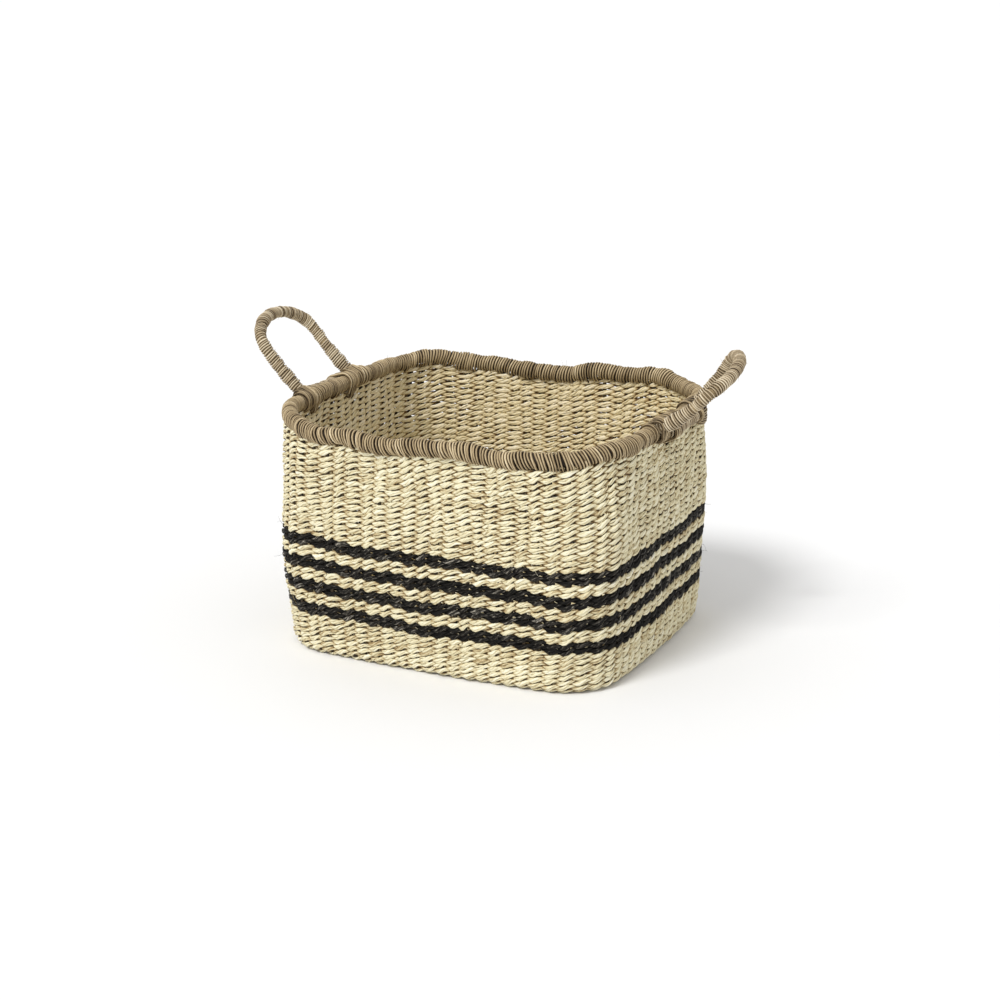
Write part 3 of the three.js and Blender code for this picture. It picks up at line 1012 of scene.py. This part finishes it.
def grain_material(name, dark, light, stretch):
    """Plain fibrous stuff for what the cord hides."""
    nodes = Nodes(name)
    place = nodes.new("ShaderNodeTexCoord").outputs["Object"]
    mapped = nodes.new("ShaderNodeMapping", {"Vector": place, "Scale": stretch}).outputs[0]
    noise = nodes.new("ShaderNodeTexNoise", {"Vector": mapped, "Scale": 90.0, "Detail": 4.0}).outputs["Fac"]
    nodes.link(nodes.ramp(noise, ((0.3, dark), (0.7, light))), "Base Color")
    bumped = nodes.new("ShaderNodeBump", {"Height": noise, "Strength": 0.4, "Distance": 0.0005})
    nodes.link(bumped.outputs["Normal"], "Normal")
    nodes.shader.inputs["Roughness"].default_value = 0.7
    return nodes.material


# ---- stage, light and camera ----

CAMERA_AZIMUTH = math.radians(25.5)
CAMERA_ELEVATION = math.radians(17.0)
CAMERA_DISTANCE = 2.47
CAMERA_LENS = 81.1
CAMERA_AIM = (0.0027, 0.0173)  # to the right of and above the basket's middle


def make_camera():
    back = Vector(
        (
            math.sin(CAMERA_AZIMUTH) * math.cos(CAMERA_ELEVATION),
            -math.cos(CAMERA_AZIMUTH) * math.cos(CAMERA_ELEVATION),
            math.sin(CAMERA_ELEVATION),
        )
    )
    right = Vector((math.cos(CAMERA_AZIMUTH), math.sin(CAMERA_AZIMUTH), 0))
    up = back.cross(right)
    middle = Vector((0, 0, RIM_HEIGHT / 2 * MM))
    target = middle + right * CAMERA_AIM[0] + up * CAMERA_AIM[1]
    data = bpy.data.cameras.new("camera")
    data.lens = CAMERA_LENS
    data.sensor_width = 36
    camera = bpy.data.objects.new("camera", data)
    camera.location = target + back * CAMERA_DISTANCE
    camera.rotation_euler = back.to_track_quat("Z", "Y").to_euler()
    bpy.context.scene.collection.objects.link(camera)
    bpy.context.scene.camera = camera


def make_stage():
    """A plain pale floor, wide enough to fill the view."""
    mesh = bpy.data.meshes.new("floor")
    reach = 40.0
    corners = [(-reach, -reach, 0), (reach, -reach, 0), (reach, reach, 0), (-reach, reach, 0)]
    mesh.from_pydata(corners, [], [(0, 1, 2, 3)])
    nodes = Nodes("floor")
    nodes.shader.inputs["Base Color"].default_value = (0.87, 0.87, 0.87, 1)
    nodes.shader.inputs["Roughness"].default_value = 0.9
    mesh.materials.append(nodes.material)
    floor = bpy.data.objects.new("floor", mesh)
    bpy.context.scene.collection.objects.link(floor)


SUN_AZIMUTH = math.radians(-14)  # from the front, towards the left
SUN_ELEVATION = math.radians(50)


def make_lights():
    world = bpy.data.worlds.new("world")
    world.use_nodes = True
    background = world.node_tree.nodes["Background"]
    background.inputs["Color"].default_value = (1, 1, 1, 1)
    background.inputs["Strength"].default_value = 0.72
    bpy.context.scene.world = world
    data = bpy.data.lights.new("sun", "SUN")
    data.energy = 2.0
    data.angle = math.radians(18)
    sun = bpy.data.objects.new("sun", data)
    toward_sun = Vector(
        (
            math.sin(SUN_AZIMUTH) * math.cos(SUN_ELEVATION),
            -math.cos(SUN_AZIMUTH) * math.cos(SUN_ELEVATION),
            math.sin(SUN_ELEVATION),
        )
    )
    sun.rotation_euler = toward_sun.to_track_quat("Z", "Y").to_euler()
    bpy.context.scene.collection.objects.link(sun)


# ---- the basket ----

natural = natural_seagrass()
black = black_seagrass()
rim_brown = rim_cord_material()
handle_brown = handle_cord_material()
# Rope colour, darkened so that it also serves as painted shade between the turns of the handle's wrap.
rope_fibre_and_shade = grain_material("rope_fibre_and_shade", srgb(96, 78, 50), srgb(160, 138, 98), (1, 1, 1))
# Painted shade: the stakes show only in the gaps between stitches, and are near black to stand for the shade
# there.
stalk_painted_shade = grain_material("stalk_painted_shade", srgb(30, 24, 14), srgb(76, 61, 38), (1, 1, 0.3))
cane = grain_material("cane", srgb(120, 86, 48), srgb(176, 136, 86), (0.3, 0.3, 3))

wall_pieces(natural, black)
base_piece(natural)
stake_piece(stalk_painted_shade)
hoop_piece(cane)
for side_number, side_name in enumerate(("back", "left", "front", "right")):
    rim_piece(side_name, side_number, rim_brown)
handle_side("right", "front", "back", False, rim_brown, handle_brown, rope_fibre_and_shade, 300)
handle_side("left", "back", "front", True, rim_brown, handle_brown, rope_fibre_and_shade, 320)

make_stage()
make_lights()
make_camera()
bpy.context.scene.view_settings.view_transform = "Standard"
